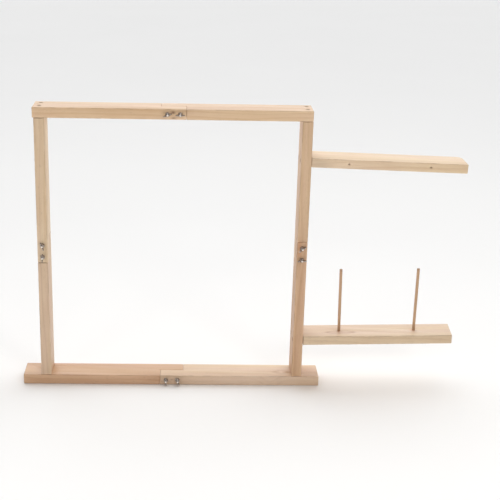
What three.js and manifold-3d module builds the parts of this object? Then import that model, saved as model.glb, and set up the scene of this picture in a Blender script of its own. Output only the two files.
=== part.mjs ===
// A take-down wooden loom for rug tufting, with a yarn stand on its right side.
//
// Four members make an upright square: a base plank, two uprights and a top rail. Each member is
// two boards, half-lapped at its middle and held by two bolts with washers and wing nuts. A guide
// arm and a spool shelf are screwed to the right upright, and two loose spindles stand in the shelf.
//
// Millimetres. +X is the loom's right as seen from the front, +Y goes to the back, +Z is up.
// The origin is the centre of the base plank's underside.

import * as THREE from 'three';
import { mergeVertices } from 'three/addons/utils/BufferGeometryUtils.js';
import Module from 'manifold-3d';

const wasm = await Module();
wasm.setup();

// ---------------------------------------------------------------- driving dimensions

const STOCK = { depth: 58, thickness: 20 };       // section of the four frame members
const ARM_STOCK = { depth: 62, thickness: 18 };   // section of the two side arms
const BASE_LENGTH = 600;
const FRAME_WIDTH = 528;                          // outer faces of the uprights
const UPRIGHT_LENGTH = 528;
const RAIL_OVERHANG = 2.5;                        // the top rail's left end stands proud
const LAP = { length: 48, boltSpacing: 24 };
const GUIDE_ARM = { height: 459.4, length: 302, droop: 0.028, screwRows: [-10, 20] };
const GUIDE_CORNER = { along: 12, across: 15, steps: 4 };  // its rounded back corner
const SHELF = { height: 90, length: 302, skew: 4.5, rise: 0.021, screwRows: [-20, 14] };
const SPINDLE = { radius: 3, length: 145, socket: 12, spots: [76, 229], leans: [0.021, 0] };
const PILOT = { radius: 1.5, depth: 12, spots: [72, 230] };
const BOLT = { radius: 2, length: 70, headRadius: 4, headHeight: 2.7, tipEase: 0.5 };
const WASHER = { outer: 4.5, inner: 2.3, thickness: 0.8 };
const NUT = {
  height: 4.6,
  footRadius: 4,
  topRadius: 3.4,
  wingReach: 8.8,
  wingHeight: 9.6,
  wingThick: 1.6,
  earRadius: 2.8,
  rootDepth: 1.4,                                 // how far a wing's root runs into the hub
  bow: 0.6,                                       // how far a wing's edges curve off straight
};
const SCREW = { radius: 1.7, length: 40, point: 4, headRadius: 3.5, headDepth: 2.4, rim: 0.3, sink: 0.8 };
const RECESS = { width: 0.8, boltReach: 2.1, boltDepth: 1.4, screwReach: 1.9, screwDepth: 1.3 };
const SCREW_ROWS = [-12, 17];                     // front-to-back places of the frame screws
const GAP = 0.3;                                  // between pieces that touch
const FIT = 0.2;                                  // round hardware and spindles in their holes
const EASE = 0.8;                                 // broken edges of the boards
const ROUND = 16;                                 // sides of the round hardware
const SCREW_SIDES = 12;
const SPINDLE_SIDES = 20;

// How far each wing nut happened to be turned, in radians, when it came up tight.
const WING_ANGLES = {
  base_lap: [1.45, 1.1],
  top_lap: [-0.38, 0],
  left_lap: [0.05, -0.35],
  right_lap: [1.5, 0.87],
};

const BASE_TOP = STOCK.thickness;
const RAIL_UNDERSIDE = BASE_TOP + UPRIGHT_LENGTH;
const UPRIGHT_X = (FRAME_WIDTH - STOCK.thickness) / 2;
const FRONT = -STOCK.depth / 2;
const BACK = STOCK.depth / 2;

// ---------------------------------------------------------------- materials

const wood = (colour) => new THREE.MeshStandardMaterial({ color: colour, roughness: 0.62, metalness: 0 });
const metal = (colour) => new THREE.MeshStandardMaterial({ color: colour, roughness: 0.35, metalness: 1 });
const PALE = '#dcc1a0';
const WARM = '#cfa27c';
const STAND = '#e3c8a6';
const DOWEL = '#bd9468';
const ZINC = '#b9bbbd';
const SCREW_STEEL = '#8f8577';

// ---------------------------------------------------------------- solids

function toSolid(geometry) {
  const bare = geometry.clone();
  bare.deleteAttribute('normal');
  bare.deleteAttribute('uv');
  const merged = mergeVertices(bare, 1e-4);
  const index = Array.from(merged.index.array);
  const triangles = [];
  for (let i = 0; i < index.length; i += 3) {
    const [a, b, c] = index.slice(i, i + 3);
    if (a !== b && b !== c && c !== a) triangles.push(a, b, c);
  }
  return new wasm.Manifold(new wasm.Mesh({
    numProp: 3,
    vertProperties: Float32Array.from(merged.attributes.position.array),
    triVerts: Uint32Array.from(triangles),
  }));
}

function toGeometry(solid) {
  const mesh = solid.getMesh();
  const geometry = new THREE.BufferGeometry();
  geometry.setAttribute('position', new THREE.BufferAttribute(mesh.vertProperties, 3));
  geometry.setIndex(new THREE.BufferAttribute(mesh.triVerts, 1));
  const faceted = geometry.toNonIndexed();
  faceted.computeVertexNormals();
  return faceted;
}

// Turned about the local Y axis, from the lowest point of the profile to the highest.
function turned(profile, sides = ROUND) {
  return new THREE.LatheGeometry(profile.map(([r, y]) => new THREE.Vector2(r, y)), sides);
}

function named(name, geometry, material) {
  const mesh = new THREE.Mesh(geometry, material);
  mesh.name = name;
  return mesh;
}

// Cuts the space that a fastener or spindle needs out of every board it enters.
function bore(boards, fastener, space) {
  fastener.updateWorldMatrix(true, false);
  for (const piece of boards) {
    piece.updateWorldMatrix(true, false);
    const cutter = space.clone();
    cutter.applyMatrix4(piece.matrixWorld.clone().invert().multiply(fastener.matrixWorld));
    cut(piece, cutter);
  }
}

function cut(piece, cutter) {
  piece.geometry = toGeometry(toSolid(piece.geometry).subtract(toSolid(cutter)));
}

// ---------------------------------------------------------------- boards

const asPoints = (pairs) => pairs.map(([x, y]) => new THREE.Vector2(x, y));

// A flat board from its plan outline, centred on its own thickness, with every edge broken.
function board(name, corners, thickness, colour) {
  const points = asPoints(corners);
  const outline = new THREE.Shape();
  points.forEach((corner, i) => {
    const before = points[(i + points.length - 1) % points.length];
    const after = points[(i + 1) % points.length];
    const enter = corner.clone().add(before.clone().sub(corner).setLength(EASE));
    const leave = corner.clone().add(after.clone().sub(corner).setLength(EASE));
    if (i === 0) outline.moveTo(enter.x, enter.y);
    else outline.lineTo(enter.x, enter.y);
    outline.lineTo(leave.x, leave.y);
  });
  outline.closePath();
  const geometry = new THREE.ExtrudeGeometry(outline, {
    depth: thickness - 2 * EASE,
    bevelSize: EASE,
    bevelThickness: EASE,
    bevelOffset: -EASE,
    bevelSegments: 1,
  });
  geometry.translate(0, 0, EASE - thickness / 2);
  return named(name, geometry, wood(colour));
}

// One board of a member. Its tongue passes the member's middle on the front or the back half, and
// its shoulder stands on the other side of the lap. `side` is -1 for the board at the member's
// start and 1 for the one at its end; `end` is how far its plain end lies from the middle.
function lappedBoard(name, side, end, tongueInFront, colour) {
  const plain = side * end;
  const shoulder = side * LAP.length / 2;
  const tip = -side * (LAP.length / 2 - GAP);
  const outer = tongueInFront ? FRONT : BACK;
  const middle = Math.sign(outer) * GAP / 2;
  const corners = [
    [plain, outer], [plain, -outer], [shoulder, -outer], [shoulder, middle], [tip, middle], [tip, outer],
  ];
  if (THREE.ShapeUtils.area(asPoints(corners)) < 0) corners.reverse();
  return board(name, corners, STOCK.thickness, colour);
}

// ---------------------------------------------------------------- hardware

// Cuts a driver's cross into a head whose top is at y = top.
function crossRecess(solid, top, reach, depth) {
  const bars = [
    new THREE.BoxGeometry(2 * reach, 2 * depth, RECESS.width),
    new THREE.BoxGeometry(RECESS.width, 2 * depth, 2 * reach),
  ];
  return bars.reduce((left, bar) => left.subtract(toSolid(bar.translate(0, top, 0))), solid);
}

// Pan-headed machine bolt: the head seats at y = 0 and the shank runs down to y = -length.
function lapBolt(name) {
  const { radius, length, headRadius, headHeight, tipEase } = BOLT;
  const rimHeight = 0.45 * headHeight;
  const crown = { radius: 0.8 * headRadius, height: 0.85 * headHeight };
  const profile = [
    [0, -length], [radius - tipEase, -length], [radius, tipEase - length], [radius, 0], [headRadius, 0],
    [headRadius, rimHeight], [crown.radius, crown.height], [0, headHeight],
  ];
  const solid = crossRecess(toSolid(turned(profile)), headHeight, RECESS.boltReach, RECESS.boltDepth);
  return named(name, toGeometry(solid), metal(ZINC));
}

function washer(name) {
  const { outer, inner, thickness } = WASHER;
  const profile = [[inner, -thickness], [outer, -thickness], [outer, 0], [inner, 0], [inner, -thickness]];
  return named(name, turned(profile), metal(ZINC));
}

// The right wing in outline: out from the hub's foot, round the ear and back to the hub's top.
function wingOutline() {
  const { height, footRadius, topRadius, wingReach, wingHeight, earRadius, rootDepth, bow } = NUT;
  const ear = { x: wingReach - earRadius, y: earRadius - wingHeight };
  const earSweep = -0.85 * Math.PI;
  const wing = new THREE.Shape();
  wing.moveTo(footRadius - rootDepth, -bow);
  wing.quadraticCurveTo(ear.x + bow, -2 * bow, wingReach, ear.y);
  wing.absarc(ear.x, ear.y, earRadius, 0, earSweep, true);
  wing.quadraticCurveTo(topRadius + bow, -height - bow, topRadius - rootDepth, bow - height);
  return wing;
}

// Wing nut with its foot at y = 0 and its wings reaching down to y = -wingHeight.
function wingNut(name) {
  const { height, footRadius, topRadius, wingThick } = NUT;
  const hub = toSolid(turned([[0, -height], [topRadius, -height], [footRadius, 0], [0, 0]]));
  const settings = { depth: wingThick, bevelEnabled: false, curveSegments: 5 };
  const right = new THREE.ExtrudeGeometry(wingOutline(), settings).translate(0, 0, -wingThick / 2);
  const left = right.clone().rotateY(Math.PI);
  const thread = new THREE.CylinderGeometry(BOLT.radius + FIT, BOLT.radius + FIT, 3 * height, ROUND);
  const solid = hub.add(toSolid(right)).add(toSolid(left)).subtract(toSolid(thread));
  return named(name, toGeometry(solid), metal(ZINC));
}

// Countersunk wood screw: the head's top is at y = 0 and the point is at y = -length. The outline
// stops under the head's rim, and grows for the hole that the screw makes.
function screwProfile(grow) {
  const { radius, length, point, headRadius, headDepth, rim } = SCREW;
  return [
    [0, -length - 2 * grow], [radius + grow, point - length], [radius + grow, -headDepth - grow],
    [headRadius + grow, -rim - grow],
  ];
}

function woodScrew(name) {
  const profile = [...screwProfile(0), [SCREW.headRadius, 0], [0, 0]];
  const blank = toSolid(turned(profile, SCREW_SIDES));
  const solid = crossRecess(blank, 0, RECESS.screwReach, RECESS.screwDepth);
  return named(name, toGeometry(solid), metal(SCREW_STEEL));
}

// A screw's hole is open above its head.
function screwSpace() {
  const mouth = 2 * SCREW.sink;
  return turned([...screwProfile(FIT), [SCREW.headRadius + FIT, mouth], [0, mouth]], SCREW_SIDES);
}

const BOLT_SPACE = new THREE.CylinderGeometry(BOLT.radius + GAP, BOLT.radius + GAP, 3 * STOCK.depth, ROUND);

// A spindle's foot is at y = 0, at the bottom of its socket.
function spindle(name) {
  const { radius, length } = SPINDLE;
  const profile = [
    [0, 0], [radius - EASE, 0], [radius, EASE], [radius, length - EASE], [radius - EASE, length], [0, length],
  ];
  return named(name, turned(profile, SPINDLE_SIDES), wood(DOWEL));
}

// ---------------------------------------------------------------- assembly

const loom = new THREE.Group();

// A member lies along its group's X axis, with the middle of its lap at the group's origin.
function member(lapName, group, boards) {
  loom.add(group);
  group.add(...boards);
  [-1, 1].forEach((side, i) => {
    const x = side * LAP.boltSpacing / 2;
    const number = i + 1;
    const bolt = lapBolt(`${lapName}_bolt_${number}`);
    bolt.position.set(x, BACK + FIT, 0);
    const ring = washer(`${lapName}_washer_${number}`);
    ring.position.set(x, FRONT - FIT, 0);
    const nut = wingNut(`${lapName}_wing_nut_${number}`);
    nut.position.set(x, FRONT - 2 * FIT - WASHER.thickness, 0);
    nut.rotation.y = WING_ANGLES[lapName][i];
    group.add(bolt, ring, nut);
    bore(boards, bolt, BOLT_SPACE);
  });
  return boards;
}

const baseGroup = new THREE.Group();
baseGroup.position.set(0, 0, BASE_TOP / 2);
const baseBoards = member('base_lap', baseGroup, [
  lappedBoard('base_board_left', -1, BASE_LENGTH / 2, false, WARM),
  lappedBoard('base_board_right', 1, BASE_LENGTH / 2, true, PALE),
]);

const railGroup = new THREE.Group();
railGroup.position.set(0, 0, RAIL_UNDERSIDE + STOCK.thickness / 2);
const railBoards = member('top_lap', railGroup, [
  lappedBoard('top_rail_left', -1, FRAME_WIDTH / 2 + RAIL_OVERHANG, true, PALE),
  lappedBoard('top_rail_right', 1, FRAME_WIDTH / 2, false, PALE),
]);

// An upright's group is turned so that its X axis points up.
function upright(name, lapName, x, upperTongueInFront) {
  const group = new THREE.Group();
  group.position.set(x, 0, BASE_TOP + UPRIGHT_LENGTH / 2);
  group.rotation.y = -Math.PI / 2;
  const end = UPRIGHT_LENGTH / 2 - GAP;
  return member(lapName, group, [
    lappedBoard(`${name}_lower`, -1, end, !upperTongueInFront, PALE),
    lappedBoard(`${name}_upper`, 1, end, upperTongueInFront, PALE),
  ]);
}

const [leftLower, leftUpper] = upright('left_upright', 'left_lap', -UPRIGHT_X, true);
const [rightLower, rightUpper] = upright('right_upright', 'right_lap', UPRIGHT_X, false);

// Screws join the rail and the base plank to the uprights' ends.
function addScrew(name, place, turn, boards) {
  const screw = woodScrew(name);
  screw.position.copy(place);
  screw.rotation.set(...turn);
  loom.add(screw);
  bore(boards, screw, screwSpace());
}

const HEAD_UP = [Math.PI / 2, 0, 0];
const HEAD_DOWN = [-Math.PI / 2, 0, 0];
const HEAD_LEFT = [0, 0, Math.PI / 2];
const ROW_NAMES = ['front', 'back'];
const SIDES = [
  { side: 'left', x: -UPRIGHT_X, upper: leftUpper, lower: leftLower },
  { side: 'right', x: UPRIGHT_X, upper: rightUpper, lower: rightLower },
];
SIDES.forEach(({ side, x, upper, lower }, end) => {
  ROW_NAMES.forEach((row, i) => {
    const railTop = new THREE.Vector3(x, SCREW_ROWS[i], RAIL_UNDERSIDE + STOCK.thickness - SCREW.sink);
    addScrew(`rail_screw_${side}_${row}`, railTop, HEAD_UP, [railBoards[end], upper]);
    const underside = new THREE.Vector3(x, SCREW_ROWS[i], SCREW.sink);
    addScrew(`foot_screw_${side}_${row}`, underside, HEAD_DOWN, [baseBoards[end], lower]);
  });
});

// The side arms butt against the right upright, their front faces in line with the frame's. The
// outline's first corner is the arm's near front one; a tilt lets the arm end's nearest edge keep
// its gap to the upright.
function sideArm(name, corners, height, tilt) {
  const arm = board(name, corners, ARM_STOCK.thickness, STAND);
  const half = ARM_STOCK.thickness / 2;
  arm.position.set(FRAME_WIDTH / 2 + GAP + half * Math.abs(Math.sin(tilt)), FRONT, height + half);
  arm.rotation.y = tilt;
  loom.add(arm);
  return arm;
}

function addArmScrews(prefix, arm, uprightBoard, rows) {
  ROW_NAMES.forEach((row, i) => {
    const place = new THREE.Vector3(UPRIGHT_X - STOCK.thickness / 2 + SCREW.sink, rows[i], arm.position.z);
    addScrew(`${prefix}_${row}`, place, HEAD_LEFT, [uprightBoard, arm]);
  });
}

const armDepth = ARM_STOCK.depth;

// The guide arm's free end, from its front corner round to its back edge.
function guideEnd() {
  const { along, across, steps } = GUIDE_CORNER;
  const points = [[GUIDE_ARM.length, 0]];
  for (let i = 0; i <= steps; i += 1) {
    const angle = (i / steps) * (Math.PI / 2);
    const inward = along * (1 - Math.cos(angle));
    const short = across * (1 - Math.sin(angle));
    points.push([GUIDE_ARM.length - inward, armDepth - short]);
  }
  return points;
}

const guideCorners = [[0, 0], ...guideEnd(), [0, armDepth]];
const guideArm = sideArm('guide_arm', guideCorners, GUIDE_ARM.height, GUIDE_ARM.droop);
addArmScrews('guide_arm_screw', guideArm, rightUpper, GUIDE_ARM.screwRows);
for (const x of PILOT.spots) {
  const hole = new THREE.CylinderGeometry(PILOT.radius, PILOT.radius, 2 * PILOT.depth, SCREW_SIDES);
  cut(guideArm, hole.translate(x, 0, 0));
}

const shelfCorners = [[0, 0], [SHELF.length, 0], [SHELF.length + SHELF.skew, armDepth], [0, armDepth]];
const shelf = sideArm('spool_shelf', shelfCorners, SHELF.height, -SHELF.rise);
addArmScrews('shelf_screw', shelf, rightLower, SHELF.screwRows);

// The spindles stand loose in the shelf's blind sockets, on its centre line.
const socketRadius = SPINDLE.radius + FIT;
const socketReach = 2 * SPINDLE.length;
const socketSpace = new THREE.CylinderGeometry(socketRadius, socketRadius, socketReach, SPINDLE_SIDES);
socketSpace.translate(0, SPINDLE.length - FIT, 0);
['inner', 'outer'].forEach((which, i) => {
  const foot = new THREE.Vector3(SPINDLE.spots[i], armDepth / 2, ARM_STOCK.thickness / 2 - SPINDLE.socket);
  const peg = spindle(`spool_spindle_${which}`);
  shelf.updateWorldMatrix(true, false);
  peg.position.copy(shelf.localToWorld(foot));
  peg.rotation.set(Math.PI / 2, 0, SPINDLE.leans[i]);
  loom.add(peg);
  bore([shelf], peg, socketSpace);
});

export default loom;
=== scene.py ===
"""The looks of a take-down wooden tufting loom: pale softwood boards, zinc hardware and two dowels."""

import math
import random

import bmesh
import bpy
from mathutils import Euler, Matrix, Vector


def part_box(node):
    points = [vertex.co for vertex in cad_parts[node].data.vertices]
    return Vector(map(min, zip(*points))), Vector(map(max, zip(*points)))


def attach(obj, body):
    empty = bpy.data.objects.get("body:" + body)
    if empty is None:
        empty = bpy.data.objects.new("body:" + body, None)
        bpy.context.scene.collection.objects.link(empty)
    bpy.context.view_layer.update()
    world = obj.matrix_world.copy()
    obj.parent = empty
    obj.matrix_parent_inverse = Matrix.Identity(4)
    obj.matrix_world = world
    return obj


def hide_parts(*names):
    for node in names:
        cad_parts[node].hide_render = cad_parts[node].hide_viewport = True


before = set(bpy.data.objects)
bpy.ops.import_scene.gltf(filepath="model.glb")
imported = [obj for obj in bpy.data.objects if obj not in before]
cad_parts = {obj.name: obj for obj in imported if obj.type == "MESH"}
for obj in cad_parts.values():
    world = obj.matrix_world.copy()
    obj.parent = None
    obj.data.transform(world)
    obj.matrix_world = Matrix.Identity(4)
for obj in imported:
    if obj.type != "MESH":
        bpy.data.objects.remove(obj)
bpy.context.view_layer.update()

MM = 0.001
UP, DOWN, LEFT = Vector((0, 0, 1)), Vector((0, 0, -1)), Vector((-1, 0, 0))
FRONT, BACK = Vector((0, -1, 0)), Vector((0, 1, 0))

# The four lap joints, the way each kind of wood screw's head faces, and the board that its head is sunk into.
LAPS = ("base", "top", "left", "right")
HEADS = {"rail_screw": UP, "foot_screw": DOWN, "guide_arm_screw": LEFT, "shelf_screw": LEFT}
HEAD_BOARD = {
    "rail_screw_left": "top_rail_left", "rail_screw_right": "top_rail_right",
    "foot_screw_left": "base_board_left", "foot_screw_right": "base_board_right",
    "guide_arm_screw": "right_upright_upper", "shelf_screw": "right_upright_lower",
}

# Hardware: an M4 bolt, its flat washer and wing nut, and a countersunk wood screw.
BOLT = {"major": 2.0 * MM, "minor": 1.62 * MM, "pitch": 0.7 * MM, "thread": 26 * MM, "length": 69.9 * MM,
        "head": 4.0 * MM, "height": 2.7 * MM, "crown": 1.3 * MM}
WASHER = {"inner": 2.3 * MM, "outer": 4.5 * MM, "thickness": 0.8 * MM, "ease": 0.18 * MM}
WING = {"reach": 8.8 * MM, "top": 9.5 * MM, "ear": 2.8 * MM, "root": 2 * MM, "half": 1.15 * MM,
        "taper": 0.4 * MM}
TAP = {"minor": 2.1 * MM, "major": 2.4 * MM, "low": -0.6 * MM, "high": 5.4 * MM}
SCREW = {"core": 1.15 * MM, "crest": 1.68 * MM, "pitch": 1.8 * MM, "length": 40 * MM, "thread": 26 * MM,
         "point": 5 * MM, "shank": 1.25 * MM, "head": 3.5 * MM, "sink": 2.4 * MM}
CROSS = {"width": 0.85 * MM, "bolt": (2.1 * MM, 1.5 * MM), "screw": (1.9 * MM, 1.6 * MM)}
SIDES = 28

# Dowels, and where the guide arm's two pilot holes are, from its fixed end.
DOWEL = {"radius": 3.0 * MM, "ease": 0.8 * MM, "uneven": 0.03 * MM, "oval": 0.02 * MM}
PILOTS = (72 * MM, 230 * MM)

# Metal, as sRGB colours of 0 to 255: clean plating and its stains.
# Painted reflection and highlight: the nuts' and washers' zinc is darkened for dark reflections, the bolts'
# lightened for glints.
NUT_ZINC_PAINTED_DARK, BOLT_ZINC_PAINTED_BRIGHT = ((172, 163, 156), (60, 50, 42)), ((228, 218, 210), (138, 126, 116))
SCREW_STEEL = ((128, 118, 104), (70, 60, 50))

# Stains, marks, painted shade and painted light in the wood, as sRGB colours of 0 to 255.
STAIN_AND_SHADE_BROWN, SEAM_AND_SHADE, SAP, BORE_BURN_AND_SHADE = (132, 98, 68), (118, 74, 40), (226, 158, 112), (104, 52, 20)
PALE_AND_LIT, GREY_STAIN_AND_SHADE, LENS_BROWN = (244, 220, 202), (176, 156, 130), (176, 118, 70)

# Early and late wood of each board, as sRGB colours of 0 to 255. A knot lies at a place along its board and to
# the back. The rings swell round it by bend. Its darker rim lies rim_at times its own long and wide away.
BOARDS = {
    "base_board_left": {"light": (214, 177, 143), "dark": (186, 139, 103), "slot": "warm_frame_wood"},
    "base_board_right": {"light": (223, 196, 167), "dark": (196, 161, 129), "knots": (
        {"at": (0.087, -0.007), "long": 17 * MM, "wide": 9 * MM, "bend": 7 * MM,
         "rim_at": 0.8, "rim_wide": 0.3, "rim": 0.22},
        {"at": (0.062, -0.03), "long": 20 * MM, "wide": 8 * MM, "bend": 6 * MM,
         "rim_at": 0.9, "rim_wide": 0.3, "rim": 0.1},
    )},
    "top_rail_left": {"light": (227, 197, 165), "dark": (202, 164, 126)},
    "top_rail_right": {"light": (227, 198, 167), "dark": (203, 165, 126)},
    "left_upright_lower": {"light": (223, 198, 172), "dark": (196, 163, 133)},
    "left_upright_upper": {"light": (227, 204, 175), "dark": (205, 173, 139)},
    "right_upright_lower": {"light": (219, 184, 150), "dark": (189, 145, 109)},
    "right_upright_upper": {"light": (216, 185, 153), "dark": (188, 149, 115)},
    "guide_arm": {"light": (233, 210, 179), "dark": (206, 173, 137), "slot": "stand_wood"},
    "spool_shelf": {"light": (231, 208, 182), "dark": (203, 174, 144), "slot": "stand_wood", "knots": (
        {"at": (-0.075, -0.0085), "long": 27 * MM, "wide": 6.5 * MM, "bend": 2 * MM,
         "rim_at": 1.0, "rim_wide": 0.2, "rim": 0.5},
    )},
}

DOWEL_WOOD = {"light": (216, 182, 150), "dark": (182, 142, 110)}

CAMERA = {
    "place": (0.01466, -2.14275, 0.99722),
    "pitch": 0.33828,
    "yaw": -0.03251,
    "roll": -0.02158,
    "sensor": 36,
    "lens": 81.92952,
    "shift": (0.07, 0.036),
}


# ---------------------------------------------------------------- helpers for nodes

def linear(red, green, blue):
    """An sRGB colour of 0 to 255 as Blender's linear RGBA."""
    def channel(value):
        value /= 255
        return value / 12.92 if value <= 0.04045 else ((value + 0.055) / 1.055) ** 2.4
    return (channel(red), channel(green), channel(blue), 1.0)


def scaled(colour, *factors):
    """A linear colour with its three channels multiplied by one factor or by three."""
    factors = factors * 3 if len(factors) == 1 else factors
    return tuple(channel * factor for channel, factor in zip(colour, factors)) + (1.0,)


class Nodes:
    """A material with short ways to add nodes to its tree."""

    def __init__(self, name):
        self.material = bpy.data.materials.new(name)
        self.material.use_nodes = True
        self.tree = self.material.node_tree
        self.tree.nodes.clear()

    def feed(self, socket, value):
        """Sets an input to a value, or links another node's output to it."""
        if isinstance(value, bpy.types.NodeSocket):
            self.tree.links.new(value, socket)
        else:
            socket.default_value = value

    def add(self, kind, inputs=None, **settings):
        node = self.tree.nodes.new(kind)
        for key, value in settings.items():
            setattr(node, key, value)
        for key, value in (inputs or {}).items():
            self.feed(node.inputs[key], value)
        return node

    def math(self, operation, *values, clamp=False):
        node = self.add("ShaderNodeMath", dict(enumerate(values)), operation=operation, use_clamp=clamp)
        return node.outputs[0]

    def vector(self, operation, *values):
        return self.add("ShaderNodeVectorMath", dict(enumerate(values)), operation=operation)

    def dot(self, vector, direction):
        return self.vector("DOT_PRODUCT", vector, direction).outputs["Value"]

    def square(self, value):
        return self.math("MULTIPLY", value, value)

    def bell(self, squared):
        """1 at no distance, falling smoothly to 0, from a distance squared."""
        return self.math("EXPONENT", self.math("MULTIPLY", squared, -1.0))

    def noise(self, vector, waves, detail, roughness=0.5):
        stretched = self.vector("MULTIPLY", vector, waves).outputs[0]
        return self.add("ShaderNodeTexNoise", {
            "Vector": stretched, "Scale": 1.0, "Detail": detail, "Roughness": roughness,
        })

    def ramp(self, factor, stops):
        """A smooth curve through (position, value) stops."""
        node = self.add("ShaderNodeValToRGB", {"Fac": factor})
        node.color_ramp.interpolation = "EASE"
        elements = node.color_ramp.elements
        while len(elements) < len(stops):
            elements.new(0.5)
        for element, (position, value) in zip(elements, stops):
            element.position = position
            element.color = (value, value, value, 1.0)
        return node.outputs[0]

    def mix(self, factor, first, second, blend="MIX"):
        node = self.add("ShaderNodeMix", data_type="RGBA", blend_type=blend)
        for name, value in (("Factor_Float", factor), ("A_Color", first), ("B_Color", second)):
            self.feed(next(s for s in node.inputs if s.identifier == name), value)
        return next(s for s in node.outputs if s.identifier == "Result_Color")

    def finish(self, colour, roughness, height, bump, **fixed):
        """Ends the tree in a shader. bump is a strength and a depth, and fixed sets more of its inputs."""
        relief = self.add("ShaderNodeBump", {"Height": height, "Strength": bump[0], "Distance": bump[1]})
        shader = self.add("ShaderNodeBsdfPrincipled", {
            "Base Color": colour, "Roughness": roughness, "Normal": relief.outputs[0],
            **{key.replace("_", " "): value for key, value in fixed.items()},
        })
        self.add("ShaderNodeOutputMaterial", {"Surface": shader.outputs[0]})
        return self.material


# ---------------------------------------------------------------- wood

# Noise scales in waves a metre: along the grain, to the back, across.
WARP_WAVES, BAND_WAVES, CLOUD_WAVES, HUE_WAVES = (2.4, 11, 11), (1.6, 42, 42), (7, 20, 20), (2.2, 34, 34)
FIBRE_WAVES, FLECK_WAVES, WEAR_AND_HIGHLIGHT_WAVES = (16, 620, 620), (95, 1500, 1500), (30, 60, 60)
SPACING_WAVES = (55, 1, 1)

# How far the slow warp pushes the rings, and how uneven their spacing is.
WARP_REACH = 14 * MM
UNEVEN = 2.2

# How strongly each layer darkens the wood.
RINGS_DARKEN, BANDS_DARKEN, CLOUDS_DARKEN = 0.3, 0.45, 0.9
FIBRES_DARKEN, FLECKS_DARKEN, ENDS_DARKEN = 0.55, 0.35, 0.3

# The yellower and the redder stretches of a board multiply its colour by these.
YELLOWER, REDDER = (1.02, 1.01, 0.94, 1), (1.0, 0.965, 0.97, 1)

# Widths of the paler strip, part worn and part painted highlight, and of the soiled strip along each edge, and
# how far the first pales.
WEAR_AND_HIGHLIGHT_WIDTH, SOILED_WIDTH = 3 * MM, 1.6 * MM
WEAR_AND_HIGHLIGHT_AMOUNT = 0.3

# Where a log's middle lies from the piece's own, to the back and across, and the spacing of its rings.
LOG_MIDDLE, DOWEL_MIDDLE = (0.05, -0.03), (0.02, 0.012)
BOARD_RINGS, DOWEL_RINGS = 4.2 * MM, 1.6 * MM


def knot_shape(n, local, warped, knot):
    """How much a knot swells the rings at each place, and how strong its dark rim is there."""
    along = n.math("SUBTRACT", n.dot(warped, (1, 0, 0)), knot["at"][0])
    along = n.math("MULTIPLY", along, 1 / knot["long"])
    beside = n.math("SUBTRACT", n.dot(local, (0, 1, 0)), knot["at"][1])
    beside = n.math("MULTIPLY", beside, 1 / knot["wide"])
    squared = n.math("ADD", n.square(along), n.square(beside))
    off = n.math("SUBTRACT", n.math("SQRT", squared), knot["rim_at"])
    off = n.math("MULTIPLY", off, 1 / knot["rim_wide"])
    return n.bell(squared), n.math("MULTIPLY", n.bell(n.square(off)), knot["rim"])


def edge_distance(n, local, half):
    """The distance to a board's nearest edge: the middle one of the distances to its three pairs of faces."""
    gaps = [
        n.math("SUBTRACT", size, n.math("ABSOLUTE", n.dot(local, axis)))
        for size, axis in zip(half, ((1, 0, 0), (0, 1, 0), (0, 0, 1)))
    ]
    least, most = n.math("MINIMUM", gaps[0], gaps[1]), n.math("MAXIMUM", gaps[0], gaps[1])
    return n.math("MAXIMUM", least, n.math("MINIMUM", most, gaps[2]))


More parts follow.
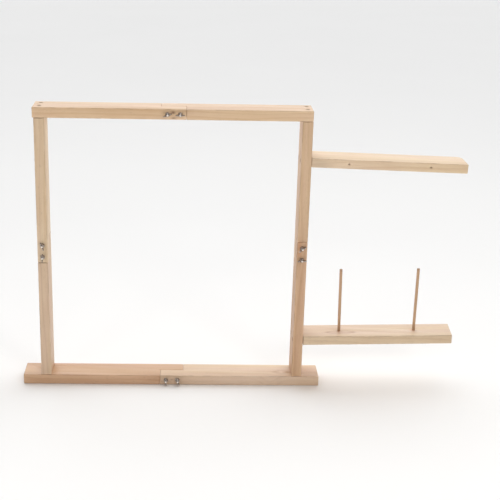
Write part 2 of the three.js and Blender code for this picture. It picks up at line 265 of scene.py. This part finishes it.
def wood(name, seed, centre, turn, half, look, *, pith=LOG_MIDDLE, spacing=BOARD_RINGS, marks=()):
    """Softwood sawn from a log. centre and turn, an angle about Y, place the board: its local X lies along the
    grain and its Y runs to the back. half is its half size there, or None for a round piece. look gives its
    colours and knots, and pith is where the log's middle lies off the board's own."""
    light, dark = linear(*look["light"]), linear(*look["dark"])
    draw = random.Random(seed)
    n = Nodes(name)
    place = n.add("ShaderNodeTexCoord")
    local = n.add("ShaderNodeMapping", {
        "Vector": place.outputs["Object"], "Location": centre, "Rotation": (0, turn, 0),
    }, vector_type="TEXTURE").outputs[0]
    shift = tuple(draw.uniform(-9, 9) for _ in range(3))
    seeded = n.vector("ADD", local, shift).outputs[0]

    # Rings round the pith, drifting a little along the board and pushed about by a slow warp.
    warp = n.noise(seeded, WARP_WAVES, 2.0).outputs["Color"]
    warp = n.vector("SUBTRACT", warp, (0.5, 0.5, 0.5)).outputs[0]
    warp = n.vector("MULTIPLY", warp, (0, WARP_REACH, WARP_REACH)).outputs[0]
    warped = n.vector("ADD", local, warp).outputs[0]
    drift = (draw.uniform(-0.02, 0.02), draw.uniform(-0.015, 0.015))
    across = n.math("SUBTRACT", n.dot(warped, (drift[0], 1, 0)), pith[0])
    through = n.math("SUBTRACT", n.dot(warped, (drift[1], 0, 1)), pith[1])
    radius = n.math("SQRT", n.math("ADD", n.square(across), n.square(through)))
    rims = []
    for knot in look.get("knots", ()):
        swell, rim = knot_shape(n, local, warped, knot)
        radius = n.math("MULTIPLY_ADD", swell, knot["bend"], radius)
        rims.append(rim)
    by_radius = n.add("ShaderNodeCombineXYZ", {"X": radius, "Y": shift[0]}).outputs[0]
    uneven = n.noise(by_radius, SPACING_WAVES, 1.0).outputs["Fac"]
    count = n.math("ADD", n.math("MULTIPLY", radius, 1 / spacing), n.math("MULTIPLY", uneven, UNEVEN))
    late = n.ramp(n.math("FRACT", count), ((0, 0.05), (0.5, 0.22), (0.86, 1), (0.95, 0.9), (1, 0.05)))

    # Broad bands, clouds and short fibres along the grain, and the fine dark flecks of its pores.
    band = n.ramp(n.noise(seeded, BAND_WAVES, 3.0, 0.6).outputs["Fac"], ((0.3, 0), (0.7, 1)))
    cloud = n.noise(seeded, CLOUD_WAVES, 3.0).outputs["Fac"]
    fibre = n.noise(seeded, FIBRE_WAVES, 3.0, 0.65).outputs["Fac"]
    fleck = n.ramp(n.noise(seeded, FLECK_WAVES, 1.0).outputs["Fac"], ((0.66, 0), (0.74, 1)))
    grain = n.math("MULTIPLY", late, RINGS_DARKEN)
    grain = n.math("MULTIPLY_ADD", band, BANDS_DARKEN, grain)
    grain = n.math("MULTIPLY_ADD", n.math("SUBTRACT", cloud, 0.5), CLOUDS_DARKEN, grain)
    grain = n.math("MULTIPLY_ADD", n.math("SUBTRACT", fibre, 0.5), FIBRES_DARKEN, grain, clamp=True)
    colour = n.mix(grain, light, dark)
    hue = n.ramp(n.noise(seeded, HUE_WAVES, 2.0).outputs["Fac"], ((0.36, 0), (0.64, 1)))
    colour = n.mix(1.0, colour, n.mix(hue, YELLOWER, REDDER), "MULTIPLY")
    colour = n.mix(n.math("MULTIPLY", fleck, FLECKS_DARKEN), colour, scaled(dark, 0.55))
    if rims:
        rim = rims[0]
        for other in rims[1:]:
            rim = n.math("MAXIMUM", rim, other)
        colour = n.mix(rim, colour, scaled(dark, 0.6, 0.38, 0.22))

    # Stains and patches of painted shade and light, each strongest at one place.
    for mark in marks:
        away = n.vector("SUBTRACT", local, mark["at"]).outputs[0]
        away = n.vector("MULTIPLY", away, tuple(1 / reach for reach in mark["reach"])).outputs[0]
        near = n.bell(n.dot(away, away))
        colour = n.mix(n.math("MULTIPLY", near, mark["strength"]), colour, mark["tint"])

    # Cut ends drink in more light. The edges are paler in places, worn by handling and partly a painted
    # highlight, and soiled elsewhere.
    facing = n.dot(place.outputs["Normal"], tuple(Euler((0, turn, 0)).to_matrix().col[0]))
    end = n.ramp(n.math("ABSOLUTE", facing), ((0.72, 0), (0.9, 1)))
    colour = n.mix(n.math("MULTIPLY", end, ENDS_DARKEN), colour, scaled(dark, 0.62))
    roughness = n.math("MULTIPLY_ADD", fibre, 0.16, n.math("MULTIPLY_ADD", end, 0.2, 0.42))
    if half:
        edge = edge_distance(n, local, half)
        near = n.ramp(n.math("MULTIPLY", edge, 1 / WEAR_AND_HIGHLIGHT_WIDTH), ((0.1, 1), (1, 0)))
        worn_and_lit_patches = n.ramp(n.noise(seeded, WEAR_AND_HIGHLIGHT_WAVES, 3.0).outputs["Fac"], ((0.4, 0), (0.62, 1)))
        wear_and_highlight = n.math("MULTIPLY", n.math("MULTIPLY", near, worn_and_lit_patches), WEAR_AND_HIGHLIGHT_AMOUNT)
        pale = tuple(min(1.0, channel * 1.12 + 0.03) for channel in light[:3]) + (1.0,)
        # Paler edges: worn by handling, and partly a painted highlight.
        colour = n.mix(wear_and_highlight, colour, pale)
        soiled = n.ramp(n.math("MULTIPLY", edge, 1 / SOILED_WIDTH), ((0.2, 0.34), (1, 0)))
        colour = n.mix(n.math("SUBTRACT", soiled, wear_and_highlight, clamp=True), colour, scaled(dark, 0.5))
        roughness = n.math("SUBTRACT", roughness, n.math("MULTIPLY", wear_and_highlight, 0.1))
    height = n.math("MULTIPLY_ADD", late, 0.25, n.math("MULTIPLY", fibre, 0.6))
    height = n.math("SUBTRACT", height, n.math("MULTIPLY", fleck, 0.5))
    return n.finish(colour, roughness, height, (0.3, 0.35 * MM), Specular_IOR_Level=0.8)


# ---------------------------------------------------------------- metal

# Noise scales in waves a metre, and how strongly the stains show.
CRYSTAL_WAVES, SCRATCH_WAVES, STAIN_WAVES = (420, 420, 420), (500, 4200, 2600), (160, 160, 160)
STAINS_DARKEN = 0.2


def plated(name, seed, colours, roughness):
    """Plated steel: cloudy crystals in the plating, fine rubbing marks and dull stains in scattered patches.
    """
    clean, stain = (linear(*colour) for colour in colours)
    n = Nodes(name)
    place = n.add("ShaderNodeTexCoord").outputs["Object"]
    seeded = n.vector("ADD", place, (seed * 1.7, seed * 2.3, seed * 0.9)).outputs[0]
    cloud = n.noise(seeded, CRYSTAL_WAVES, 3.0, 0.6).outputs["Fac"]
    scratch = n.noise(seeded, SCRATCH_WAVES, 3.0, 0.7).outputs["Fac"]
    dull = n.ramp(n.noise(seeded, STAIN_WAVES, 4.0, 0.65).outputs["Fac"], ((0.42, 0), (0.72, 1)))
    colour = n.mix(n.math("MULTIPLY", dull, STAINS_DARKEN), clean, stain)
    shade = n.math("MULTIPLY_ADD", cloud, 0.16, 0.9)
    shade = n.add("ShaderNodeCombineColor", {"Red": shade, "Green": shade, "Blue": shade}).outputs[0]
    colour = n.mix(1.0, colour, shade, "MULTIPLY")
    rough = n.math("MULTIPLY_ADD", scratch, 0.16, n.math("MULTIPLY_ADD", dull, 0.16, roughness - 0.08))
    height = n.math("MULTIPLY_ADD", cloud, 0.5, n.math("MULTIPLY", scratch, 0.5))
    return n.finish(colour, rough, height, (0.25, 0.05 * MM), Metallic=1.0)


# ---------------------------------------------------------------- mesh builders

def to_object(name, bm):
    """Turns a bmesh into an object in the scene and frees it."""
    bmesh.ops.recalc_face_normals(bm, faces=bm.faces)
    mesh = bpy.data.meshes.new(name)
    bm.to_mesh(mesh)
    bm.free()
    made = bpy.data.objects.new(name, mesh)
    bpy.context.scene.collection.objects.link(made)
    return made


def shade(made, angle):
    """Smooth shading that breaks at edges sharper than the angle."""
    mesh = made.data
    mesh.shade_smooth()
    mesh.set_sharp_from_angle(angle=math.radians(angle))


def rounded(made, width, segments, angle):
    """Rounds every edge sharper than the angle."""
    bevel = made.modifiers.new("rounded", "BEVEL")
    bevel.width = width
    bevel.segments = segments
    bevel.limit_method = "ANGLE"
    bevel.angle_limit = math.radians(angle)
    bevel.use_clamp_overlap = True
    bevel.miter_outer = "MITER_ARC"
    bake(made)


def bake(made):
    """Applies the object's modifiers to its mesh."""
    graph = bpy.context.evaluated_depsgraph_get()
    mesh = bpy.data.meshes.new_from_object(made.evaluated_get(graph))
    made.modifiers.clear()
    made.data = mesh


def cut(made, tool, operation="DIFFERENCE", self_crossing=False):
    """Cuts a tool out of a piece, or joins it on, and removes it. A tool that crosses itself has to say so."""
    boolean = made.modifiers.new("cut", "BOOLEAN")
    boolean.object = tool
    boolean.operation = operation
    boolean.solver = "EXACT"
    boolean.use_self = self_crossing
    bpy.context.view_layer.update()
    bake(made)
    bpy.data.objects.remove(tool)


def skin(rows, closed_ends=True):
    """A closed surface through rings of points, each ring with the same count. A face closes each end, or else
    the last ring joins the first one."""
    bm = bmesh.new()
    rings = [[bm.verts.new(point) for point in row] for row in rows]
    for lower, upper in zip(rings, rings[1:]):
        wall(bm, lower, upper)
    if closed_ends:
        bm.faces.new(rings[0])
        bm.faces.new(rings[-1])
    else:
        wall(bm, rings[-1], rings[0])
    return bm


def wall(bm, lower, upper):
    """The faces between two closed rings of as many points."""
    for i in range(len(lower)):
        j = (i + 1) % len(lower)
        bm.faces.new((lower[i], lower[j], upper[j], upper[i]))


def circle(radius, height, sides=SIDES):
    """A ring of points round the Z axis. radius is a number, or gives the radius at each angle."""
    points = []
    for i in range(sides):
        angle = 2 * math.pi * i / sides
        r = radius(angle) if callable(radius) else radius
        points.append((r * math.cos(angle), r * math.sin(angle), height))
    return points


def arc(centre, radius, start, stop, steps):
    """Points of an arc as (radius, height) pairs, its angles in degrees."""
    angles = [math.radians(start + (stop - start) * i / steps) for i in range(steps + 1)]
    return [(centre[0] + radius * math.cos(a), centre[1] + radius * math.sin(a)) for a in angles]


def thread_rows(core, crest, pitch, low, high, sides=SIDES, point=0.0):
    """Rings of a screw thread from low to high, eight to each turn. Over the length point at its low end it
    shrinks to a tip."""
    count = max(2, round((high - low) / pitch * 8))
    rows = []
    for k in range(count + 1):
        z = low + (high - low) * k / count
        fade = max(0.0, min(1.0, (z - low) / pitch, (high - z) / (0.8 * pitch)))
        slim = min(1.0, 0.12 + (z - low) / point) if point else 1.0

        def radius(angle):
            phase = (z / pitch - angle / (2 * math.pi)) % 1.0
            ridge = max(0.0, min(1.0, 1.35 - 2.7 * abs(phase - 0.5)))
            return (core + (crest - core) * ridge * fade) * slim

        rows.append(circle(radius, z, sides))
    return rows


def cut_cross(made, reach, depth, top):
    """Cuts a driver's recess into a head: two tapered flutes that cross, going down from the top."""
    bm = bmesh.new()
    for across in (False, True):
        rings = []
        for z, scale in ((top - depth, 0.35), (top + 0.5 * MM, 1.0)):
            ring = []
            for sx, sy in ((-1, -1), (1, -1), (1, 1), (-1, 1)):
                x, y = sx * reach * scale, sy * CROSS["width"] / 2 * (0.7 + 0.3 * scale)
                ring.append(bm.verts.new((y, x, z) if across else (x, y, z)))
            bm.faces.new(ring)
            rings.append(ring)
        wall(bm, *rings)
    cut(made, to_object("driver", bm), self_crossing=True)


# ---------------------------------------------------------------- hardware shapes, in their own frames

def bolt_shape():
    """A pan-headed M4 bolt: its head seats at z = 0 and its shank runs down."""
    major, head, height, crown = BOLT["major"], BOLT["head"], BOLT["height"], BOLT["crown"]
    start = BOLT["thread"] - BOLT["length"]
    rows = thread_rows(BOLT["minor"], major, BOLT["pitch"], -BOLT["length"], start)
    profile = [
        (major, start + 0.4 * MM), (major, 0), (head - 0.2 * MM, 0), (head, 0.2 * MM),
        *arc((head - crown, height - crown), crown, 5, 80, 5), (0.4 * head, height),
    ]
    rows += [circle(r, h) for r, h in profile]
    made = to_object("bolt_shape", skin(rows))
    cut_cross(made, *CROSS["bolt"], height)
    shade(made, 35)
    return made


def screw_shape():
    """A countersunk wood screw: its head's top is at z = 0 and its point at the far end of its length."""
    shank, head = SCREW["shank"], SCREW["head"]
    start = SCREW["thread"] - SCREW["length"]
    rows = thread_rows(SCREW["core"], SCREW["crest"], SCREW["pitch"], -SCREW["length"], start,
                       point=SCREW["point"])
    profile = [
        (shank, start + 0.4 * MM), (shank, -SCREW["sink"]), (head - 0.12 * MM, -0.34 * MM), (head, -0.2 * MM),
        (head - 0.08 * MM, -0.04 * MM), (head - 0.3 * MM, 0),
    ]
    rows += [circle(r, h) for r, h in profile]
    made = to_object("screw_shape", skin(rows))
    cut_cross(made, *CROSS["screw"], 0)
    shade(made, 35)
    return made


def washer_shape():
    """A flat washer that stands on z = 0: one face is a little rounded by the punch."""
    inner, outer, thick, ease = WASHER["inner"], WASHER["outer"], WASHER["thickness"], WASHER["ease"]
    profile = [
        (inner, ease), (inner + ease, 0), (outer - ease, 0), *arc((outer - ease, ease), ease, -60, 0, 3),
        *arc((outer - 2 * ease, thick - 2 * ease), 2 * ease, 0, 90, 5),
        (inner + ease, thick), (inner, thick - ease),
    ]
    made = to_object("washer_shape", skin([circle(r, h, 40) for r, h in profile], closed_ends=False))
    shade(made, 50)
    return made


def wing_shape(sign):
    """One wing of the nut: a rounded ear on a waisted stem, thick at the root and thin at its lip."""
    reach, ear = WING["reach"], WING["ear"]
    outline = [
        (1.9 * MM, 0.45 * MM), (4.2 * MM, 0.85 * MM), (5.9 * MM, 2.1 * MM), (7.6 * MM, 4.1 * MM),
        *arc((reach - ear, WING["top"] - ear), ear, -28, 158, 14),
        (3.4 * MM, 5.8 * MM), (2.8 * MM, 4.8 * MM), (1.9 * MM, 4.2 * MM),
    ]
    bm = bmesh.new()
    rings = []
    for face in (-1, 1):
        ring = []
        for x, z in outline:
            thin = min(1.0, max(0.0, (x - WING["root"]) / (reach - WING["root"])))
            ring.append(bm.verts.new((sign * x, face * (WING["half"] - WING["taper"] * thin), z)))
        bm.faces.new(ring)
        rings.append(ring)
    wall(bm, *rings)
    return to_object("wing", bm)


def wing_nut_shape():
    """A pressed wing nut: its foot is at z = 0, its wings stand in the XZ plane, its bore is threaded."""
    hub = [
        (3.75 * MM, 0), (4.0 * MM, 0.25 * MM), (3.95 * MM, 1.0 * MM),
        (3.45 * MM, 4.2 * MM), (3.15 * MM, 4.6 * MM),
    ]
    made = to_object("wing_nut_shape", skin([circle(r, h, 40) for r, h in hub]))
    for sign in (-1, 1):
        cut(made, wing_shape(sign), "UNION")
    rounded(made, 0.42 * MM, 3, 40)
    rows = thread_rows(TAP["minor"], TAP["major"], BOLT["pitch"], TAP["low"], TAP["high"], sides=32)
    cut(made, to_object("tap", skin(rows)))
    shade(made, 40)
    return made


# ---------------------------------------------------------------- placing hardware

def axes(direction, across=None):
    """A turn whose Z axis is direction and whose X axis is across, or any square to it."""
    z = Vector(direction).normalized()
    if across is None:
        across = (0, 1, 0) if abs(z.y) < 0.9 else (1, 0, 0)
    x = Vector(across)
    x = (x - z * x.dot(z)).normalized()
    return Matrix((x, z.cross(x), z)).transposed().to_4x4()


def placed(shape, name, node, origin, direction, across, body, material):
    """A copy of a shape in place of a CAD node."""
    made = bpy.data.objects.new(name, shape.data)
    bpy.context.scene.collection.objects.link(made)
    made.matrix_world = Matrix.Translation(origin) @ axes(direction, across)
    if not made.data.materials:
        made.data.materials.append(material)
    made.material_slots[0].link = "OBJECT"
    made.material_slots[0].material = material
    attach(made, body)
    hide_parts(node)


def back_end(node):
    """The middle of a node's back end."""
    low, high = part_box(node)
    middle = (low + high) / 2
    middle.y = high.y
    return middle


def wing_direction(node):
    """The way the wings of a CAD wing nut point, square to its axis."""
    low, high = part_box(node)
    middle = (low + high) / 2
    sums = [0.0, 0.0, 0.0]
    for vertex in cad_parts[node].data.vertices:
        x, z = vertex.co.x - middle.x, vertex.co.z - middle.z
        sums = [sums[0] + x * x, sums[1] + x * z, sums[2] + z * z]
    angle = 0.5 * math.atan2(2 * sums[1], sums[0] - sums[2])
    return Vector((math.cos(angle), 0, math.sin(angle)))


def screw_nodes():
    return sorted(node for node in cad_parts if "_screw_" in node)


def screw_head(node):
    """The middle of a wood screw's head and the way it faces."""
    way = next(way for prefix, way in HEADS.items() if node.startswith(prefix))
    low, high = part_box(node)
    return (low + high) / 2 + way * abs(((high - low) / 2).dot(way)), way


def lap_hardware(lap, number, seed, bolt, washer, nut):
    """A bolt with its washer and wing nut."""
    # The same zinc twice: a darker copy for painted reflections on washer and nut, a lighter one for painted
    # glints on the bolt.
    zinc = plated(f"zinc_{lap}_{number}", seed, NUT_ZINC_PAINTED_DARK, 0.16)
    bright = plated(f"bolt_zinc_{lap}_{number}", seed + 40, BOLT_ZINC_PAINTED_BRIGHT, 0.18)
    spin = Vector((math.cos(seed * 1.3), 0, math.sin(seed * 1.3)))
    node = f"{lap}_lap_bolt_{number}"
    seat = back_end(node) + FRONT * BOLT["height"]
    placed(bolt, f"m4_bolt_{lap}_{number}", node, seat, BACK, spin, "frame", bright)
    node = f"{lap}_lap_washer_{number}"
    placed(washer, f"flat_washer_{lap}_{number}", node, back_end(node), FRONT, spin, f"{lap}_washer_{number}",
           zinc)
    node = f"{lap}_lap_wing_nut_{number}"
    placed(nut, f"wing_nut_{lap}_{number}", node, back_end(node), FRONT, wing_direction(node),
           f"{lap}_wing_nut_{number}", zinc)


def hardware():
    bolt, washer, nut, screw = bolt_shape(), washer_shape(), wing_nut_shape(), screw_shape()
    for index, lap in enumerate(LAPS):
        for number in (1, 2):
            lap_hardware(lap, number, 2 * index + number, bolt, washer, nut)
    for index, node in enumerate(screw_nodes()):
        top, way = screw_head(node)
        turn = Matrix.Rotation(index * 0.9, 3, way) @ Vector((0, 1, 0)).cross(way + Vector((0, 0.01, 0)))
        steel = plated(f"screw_steel_{index}", 20 + index, SCREW_STEEL, 0.4)
        placed(screw, f"wood_screw_{node}", node, top, way, turn, "frame", steel)
    for shape in (bolt, washer, nut, screw):
        bpy.data.objects.remove(shape)


# ---------------------------------------------------------------- marks, painted shade and painted light in the wood

def mark(at, reach, strength, tint):
    """A stain, or a patch of painted shade or light, round a point. reach is in millimetres along the grain,
    to the back and across.
    """
    return {"at": at, "reach": tuple(r * MM for r in reach), "strength": strength, "tint": linear(*tint)}


def spot(node, sides, shift=(0, 0, 0)):
    """A point of a node's box, moved by shift in millimetres. In each direction, a side of -1, 0 or 1 is the
    box's low end, middle or high end."""
    low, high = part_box(node)
    ends = (low, (low + high) / 2, high)
    return Vector([ends[side + 1][i] for i, side in enumerate(sides)]) + Vector(shift) * MM


def lap_spot(lap, shift=(0, 0, 0)):
    """The point on a lap joint's front face midway between its two bolts, moved by shift in millimetres."""
    middle = (spot(f"{lap}_lap_washer_1", (0, 1, 0)) + spot(f"{lap}_lap_washer_2", (0, 1, 0))) / 2
    return middle + Vector(shift) * MM


def screw_mark(screw):
    """A brown ring round a screw's head, or a darker ring round an arm screw's."""
    top, way = screw_head(screw)
    strength, tint = (0.85, SEAM_AND_SHADE) if way is LEFT else (0.5, STAIN_AND_SHADE_BROWN)
    return mark(top, (4.6, 4, 4), strength, tint)


def upright_marks(node):
    side = node.split("_")[0]
    found = []
    if node.endswith("upper"):
        found.append(mark(spot(node, (0, -1, 1)), (1.1, 34, 14), 0.55, SEAM_AND_SHADE))
    if side == "left":
        found.append(mark(lap_spot(side, (0, 0, -24)), (0.9, 3, 14), 0.75, SEAM_AND_SHADE))
        return found
    split = spot(node, (-1, 0, 0))
    split.z = lap_spot(side, (0, 0, 6)).z
    found.append(mark(split, (15, 1.0, 2.5), 0.85, SEAM_AND_SHADE))
    found.append(mark(lap_spot(side, (-6, -1, 17)), (10, 9, 3.6), 0.5, SAP))
    found.append(mark(lap_spot(side, (-5, -1, -1)), (5, 5, 4), 0.4, SAP))
    # Painted shade: a faint darkening over the lower board's whole inner face.
    if node.endswith("lower"):
        found.append(mark(spot(node, (-1, 0, 0)), (170, 60, 1.2), 0.22, STAIN_AND_SHADE_BROWN))
    return found


# Painted shade: two dark dots between the top lap's wing nuts, standing in for the wings' shadows.
def top_rail_left_marks(node):
    return [
        mark(lap_spot("top", (-1.5, 0, 3.6)), (3.8, 3, 2.6), 0.9, SEAM_AND_SHADE),
        mark(lap_spot("top", (-0.5, 0, -7)), (4, 3, 1.9), 0.6, SEAM_AND_SHADE),
    ]


def base_board_right_marks(node):
    return [
        # Painted shade: a dark dot between the base lap's wing nuts, for the wings' shadows.
        mark(lap_spot("base", (0, 0, 1)), (3.2, 3, 1.6), 0.5, SEAM_AND_SHADE),
        mark(spot(node, (-1, -1, -1)), (26, 5, 1.6), 0.6, SEAM_AND_SHADE),
        # Painted light: a faint paling over the board's whole front face.
        mark(spot(node, (0, -1, 0), (25, 0, 0)), (130, 1.2, 30), 0.4, PALE_AND_LIT),
        mark(spot(node, (1, 0, 1), (-75, -7, 0)), (5, 3.4, 4), 0.45, PALE_AND_LIT),
    ]


def guide_arm_marks(node):
    middle, turn, _ = board_frame(node)
    found = []
    for along in PILOTS:
        hole = spot(node, (-1, -1, 0))
        hole.x += along
        hole.z -= math.tan(turn) * (hole.x - middle.x)
        # Painted shade inside each pilot hole, with a burnt ring round it.
        found.append(mark(hole, (1.6, 4, 1.4), 0.95, BORE_BURN_AND_SHADE))
    # A grey stain at the arm's fixed end, with painted shade from the upright beside it.
    found.append(mark(spot(node, (-1, -1, 0), (16, 0, 0)), (22, 12, 12), 0.4, GREY_STAIN_AND_SHADE))
    return found


def spool_shelf_marks(node):
    """Painted shade in the gap at the fixed end, a warm ring at the outer dowel and a brown lens at the inner
    one.
    """
    top, middle = spot(node, (0, 0, 1)), spot(node, (0, 0, 0))
    outer, inner = spot("spool_spindle_outer", (-1, 0, 0)), spot("spool_spindle_inner", (1, 0, 0))
    def foot(dowel, x, y):
        return Vector((dowel.x + x * MM, middle.y + y * MM, top.z))
    return [
        # Painted shade in the gap where the shelf's end meets the upright.
        mark(spot(node, (-1, -1, 0)), (1.4, 14, 12), 0.7, SEAM_AND_SHADE),
        mark(foot(outer, -1.5, 0), (5, 5, 4), 0.5, SAP),
        # Brown patches forming a lens at the inner dowel's foot.
        mark(foot(inner, 7, -9), (24, 2.5, 30), 0.5, LENS_BROWN),
        mark(foot(inner, -3, -3), (9, 4, 30), 0.45, LENS_BROWN),
    ]


MARKS = {
    "left_upright_lower": upright_marks, "left_upright_upper": upright_marks,
    "right_upright_lower": upright_marks, "right_upright_upper": upright_marks,
    "top_rail_left": top_rail_left_marks, "base_board_right": base_board_right_marks,
    "guide_arm": guide_arm_marks, "spool_shelf": spool_shelf_marks,
}


# ---------------------------------------------------------------- boards and dowels

NEAR_END, FAR_END = 3 * MM, 8 * MM


def board_frame(node):
    """A board's middle, its turn about Y, and its half size along the grain, to the back and across. A board
    that lies along X is measured at its corners within NEAR_END and FAR_END of its two ends."""
    low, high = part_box(node)
    middle, size = (low + high) / 2, high - low
    if size.z > size.x:
        return middle, -math.pi / 2, (size.z / 2, size.y / 2, size.x / 2)
    points = [vertex.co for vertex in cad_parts[node].data.vertices]
    near = [p.z for p in points if p.x < low.x + NEAR_END]
    far = [p.z for p in points if p.x > high.x - FAR_END]
    rise = (max(far) - max(near)) / size.x
    return middle, -math.atan(rise), (size.x / 2, size.y / 2, (max(near) - min(near)) / 2)


def marks_on(node):
    """The stains, dark seams and patches of painted shade and light on a board, placed in the row frame."""
    screws = [screw for screw in screw_nodes() if HEAD_BOARD[screw.rsplit("_", 1)[0]] == node]
    found = [screw_mark(screw) for screw in screws]
    return found + MARKS[node](node) if node in MARKS else found


def boards():
    for index, (node, look) in enumerate(BOARDS.items()):
        bm = bmesh.new()
        bm.from_mesh(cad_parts[node].data)
        bmesh.ops.remove_doubles(bm, verts=bm.verts, dist=0.002 * MM)
        bmesh.ops.dissolve_limit(bm, angle_limit=math.radians(0.6), verts=bm.verts, edges=bm.edges)
        made = to_object(f"pine_{node}", bm)
        rounded(made, 0.3 * MM, 2, 20)
        shade(made, 50)
        middle, turn, half = board_frame(node)
        into = Matrix.Rotation(-turn, 3, "Y")
        marks = [{**found, "at": into @ (found["at"] - middle)} for found in marks_on(node)]
        material = wood(f"wood_{node}", index + 1, middle, turn, half, look, marks=marks)
        made.data.materials.clear()
        made.data.materials.append(material)
        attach(made, "frame")
        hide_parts(node)


def dowel_rows(length, phases):
    """Rings of a dowel from z = 0: its ends are eased, and its surface is slightly wavy and out of round."""
    radius, ease = DOWEL["radius"], DOWEL["ease"]
    rows = []
    for z in [
        0.0, 0.25 * ease, 0.6 * ease, ease,
        *(ease + (length - 2 * ease) * k / 24 for k in range(1, 24)),
        length - ease, length - 0.6 * ease, length - 0.25 * ease, length,
    ]:
        inward = max(0.0, ease - min(z, length - z))
        rim = radius - ease + math.sqrt(max(0.0, ease * ease - inward * inward))
        rim += DOWEL["uneven"] * (math.sin(z * 70 + phases[0]) - 1)
        rows.append(circle(lambda angle: rim + DOWEL["oval"] * math.cos(2 * angle + phases[1]), z, 40))
    return rows


def dowel_end(node, side):
    """The middle of a dowel's lower end, with a side of -1, or of its upper end, with 1."""
    limit = spot(node, (0, 0, side)).z
    points = [vertex.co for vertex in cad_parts[node].data.vertices]
    points = [point for point in points if abs(point.z - limit) < 0.5 * MM]
    return sum(points, Vector()) / len(points)


def spindles():
    for index, which in enumerate(("inner", "outer")):
        node = f"spool_spindle_{which}"
        foot, head = dowel_end(node, -1), dowel_end(node, 1)
        length = (head - foot).length
        draw = random.Random(40 + index)
        phases = [draw.uniform(0, 2 * math.pi) for _ in range(2)]
        made = to_object(f"dowel_{which}", skin(dowel_rows(length, phases)))
        shade(made, 40)
        made.matrix_world = Matrix.Translation(foot) @ axes(head - foot)
        middle = made.matrix_world.inverted() @ ((foot + head) / 2)
        marks = (
            # Painted shade round the dowel's foot, where it meets the shelf.
            mark((-0.4 * length, 0, 0), (14, 20, 20), 0.4, STAIN_AND_SHADE_BROWN),
            # Darker near the top end.
            mark((0.5 * length, 0, 0), (4, 20, 20), 0.4, STAIN_AND_SHADE_BROWN),
        )
        material = wood(f"wood_dowel_{which}", 60 + index, middle, -math.pi / 2, None, DOWEL_WOOD,
                        pith=DOWEL_MIDDLE, spacing=DOWEL_RINGS, marks=marks)
        made.data.materials.append(material)
        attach(made, f"spindle_{which}")
        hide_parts(node)


# ---------------------------------------------------------------- stage, light and camera

def stage():
    """A wide pale floor just under the loom."""
    bm = bmesh.new()
    bmesh.ops.create_grid(bm, x_segments=8, y_segments=8, size=30)
    floor = to_object("floor", bm)
    floor.location.z = -0.15 * MM
    n = Nodes("pale_floor")
    place = n.add("ShaderNodeTexCoord").outputs["Object"]
    tone = n.noise(place, (1.5, 1.5, 1.5), 2.0).outputs["Fac"]
    colour = n.mix(tone, (0.95, 0.95, 0.95, 1), (0.98, 0.98, 0.98, 1))
    floor.data.materials.append(n.finish(colour, 0.7, tone, (0.02, 1 * MM)))


# Each softbox: its place, the point that it faces, its size, its power in watts and its colour.
SOFTBOXES = {
    "top_softbox": ((0.4, 0.2, 2.6), (0.1, 0, 0.2), (2.6, 2.0), 10, (1.0, 0.99, 0.97)),
    "right_softbox": ((1.5, -2.7, 1.9), (0.1, 0, 0.3), (0.9, 0.9), 17, (1.0, 0.95, 0.89)),
    "glint_softbox": ((0.2, -3.0, 1.9), (0.1, 0, 0.3), (1.2, 0.3), 10, (1.0, 0.98, 0.95)),
    "left_softbox": ((-1.5, -2.5, 0.9), (0.1, 0, 0.2), (0.6, 0.9), 8, (1.0, 0.92, 0.84)),
}

# The room is brightest behind the loom and above, in this direction, and falls off to a dim front.
ROOM_BRIGHTEST = (0, 0.94, 0.34)
ROOM_FALL = {"From Min": -0.1, "From Max": 0.95, "To Min": 0.16, "To Max": 1.75}


def softbox(name, place, target, size, energy, colour):
    data = bpy.data.lights.new(name, "AREA")
    data.shape = "RECTANGLE"
    data.size, data.size_y = size
    data.energy = energy
    data.color = colour
    lamp = bpy.data.objects.new(name, data)
    lamp.location = place
    lamp.rotation_euler = (Vector(target) - Vector(place)).to_track_quat("-Z", "Y").to_euler()
    bpy.context.scene.collection.objects.link(lamp)


def lights():
    world = bpy.data.worlds.new("studio")
    world.use_nodes = True
    tree = world.node_tree
    background = tree.nodes["Background"]
    background.inputs["Color"].default_value = (1, 1, 1, 1)
    direction = tree.nodes.new("ShaderNodeTexCoord").outputs["Generated"]
    behind = tree.nodes.new("ShaderNodeVectorMath")
    behind.operation = "DOT_PRODUCT"
    behind.inputs[1].default_value = ROOM_BRIGHTEST
    room = tree.nodes.new("ShaderNodeMapRange")
    room.interpolation_type = "SMOOTHSTEP"
    for name, value in ROOM_FALL.items():
        room.inputs[name].default_value = value
    tree.links.new(direction, behind.inputs[0])
    tree.links.new(behind.outputs["Value"], room.inputs["Value"])
    tree.links.new(room.outputs["Result"], background.inputs["Strength"])
    bpy.context.scene.world = world
    for name, settings in SOFTBOXES.items():
        softbox(name, *settings)


def camera():
    """A camera that looks slightly down on the loom from the front."""
    data = bpy.data.cameras.new("camera")
    data.sensor_width = CAMERA["sensor"]
    data.lens = CAMERA["lens"]
    data.shift_x, data.shift_y = CAMERA["shift"]
    data.clip_start, data.clip_end = 0.05, 100
    made = bpy.data.objects.new("camera", data)
    pitch, yaw, roll = CAMERA["pitch"], CAMERA["yaw"], CAMERA["roll"]
    turn = Matrix.Rotation(yaw, 3, "Z")
    ahead = turn @ Vector((0, math.cos(pitch), -math.sin(pitch)))
    level = turn @ Vector((1, 0, 0))
    down = ahead.cross(level)
    right = math.cos(roll) * level + math.sin(roll) * down
    up = math.sin(roll) * level - math.cos(roll) * down
    turn = Matrix((right, up, -ahead)).transposed().to_4x4()
    made.matrix_world = Matrix.Translation(CAMERA["place"]) @ turn
    bpy.context.scene.collection.objects.link(made)
    bpy.context.scene.camera = made


bpy.context.scene.view_settings.view_transform = "Standard"
boards()
spindles()
hardware()
stage()
lights()
camera()
